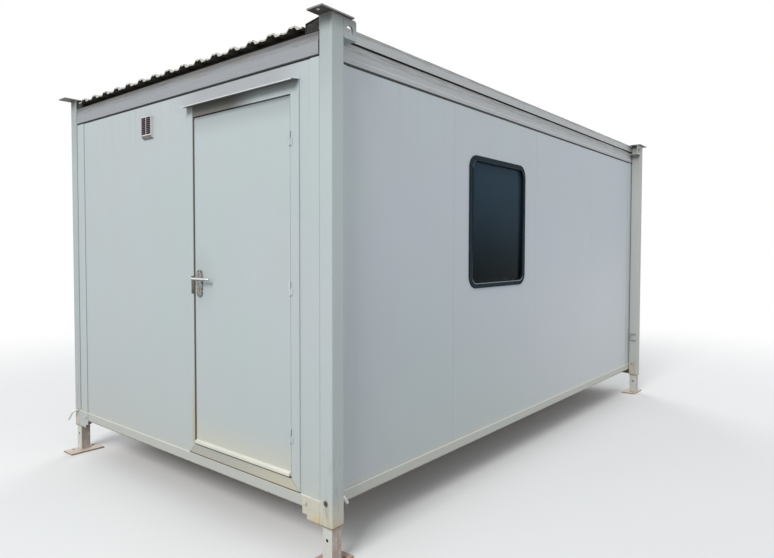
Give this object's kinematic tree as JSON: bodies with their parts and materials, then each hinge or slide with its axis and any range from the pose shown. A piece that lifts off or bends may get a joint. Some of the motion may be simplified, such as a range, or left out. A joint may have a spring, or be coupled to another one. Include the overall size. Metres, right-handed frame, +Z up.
{
  "type": "portable site cabin",
  "caption": "Pale grey steel portable site cabin on adjustable jack legs, with a door at one end and a window in each long side.",
  "frame": {"origin": "on the ground at the middle of the cabin's plan", "axes": "+Z up, -Y out of the end with the door, +X to the right of someone who faces that end"},
  "size_m": [2.92, 5.059, 2.753],
  "materials": {
    "cabin_paint": "weathered satin",
    "door_paint": "weathered satin",
    "leg_steel": "worn satin",
    "pin_steel": "worn satin",
    "worn_steel": "rusty",
    "roof_sheet_steel": "weathered",
    "gasket_rubber": "matte",
    "window_glass": "tinted",
    "floor_timber": "matte",
    "joist_timber": "sawn",
    "lining_board": "matte",
    "handle_steel": "worn",
    "vent_plastic": "weathered"
  },
  "bodies": {
    "cabin": {"back_wall": "cabin_paint", "ceiling_panel": "lining_board", "corner_strips": "cabin_paint", "door_canopy": "door_paint", "door_frame": "door_paint", "door_hinge_pins": "door_paint", "fascia_back": "cabin_paint", "fascia_front": "cabin_paint", "floor_bearers": "cabin_paint", "floor_deck": "floor_timber", "floor_rail_back": "cabin_paint", "floor_rail_front": "cabin_paint", "floor_rail_left": "cabin_paint", "floor_rail_right": "cabin_paint", "front_wall_left": "cabin_paint", "front_wall_over_door": "cabin_paint", "front_wall_right": "cabin_paint", "gusset_plates": "cabin_paint", "jack_leg_back_left": "leg_steel", "jack_leg_back_right": "leg_steel", "jack_leg_front_left": "leg_steel", "jack_leg_front_right": "leg_steel", "left_wall_front": "cabin_paint", "left_wall_rear": "cabin_paint", "left_wall_window": "cabin_paint", "leg_pins": "pin_steel", "lifting_eyes": "cabin_paint", "post_back_left": "cabin_paint", "post_back_right": "cabin_paint", "post_front_left": "cabin_paint", "post_front_right": "cabin_paint", "post_staples": "cabin_paint", "right_wall_front": "cabin_paint", "right_wall_rear": "cabin_paint", "right_wall_window": "cabin_paint", "roof_edge_cap_left": "cabin_paint", "roof_edge_cap_right": "cabin_paint", "roof_joists": "joist_timber", "roof_rail_left": "cabin_paint", "roof_rail_right": "cabin_paint", "roof_sheet": "roof_sheet_steel", "stacking_plates": "worn_steel", "vent_cowl": "vent_plastic", "window_gasket_left": "gasket_rubber", "window_gasket_right": "gasket_rubber", "window_glass_left": "window_glass", "window_glass_right": "window_glass"},
    "door": {"door_leaf": "door_paint", "door_weather_bar": "door_paint", "door_hinge_knuckles": "door_paint", "door_lock_plate": "door_paint"},
    "handle": {"door_handle": "handle_steel"}
  },
  "joints": [
    {"name": "door_hinge", "type": "hinge", "parent": "cabin", "child": "door", "pos_m": [1.132, -2.442, 1.393], "axis": [0, 0, 1], "range_deg": [0, 110]},
    {"name": "handle_turn", "type": "hinge", "parent": "door", "child": "handle", "pos_m": [0.307, -2.4335, 1.415], "axis": [0, 1, 0], "range_deg": [0, 60]}
  ]
}
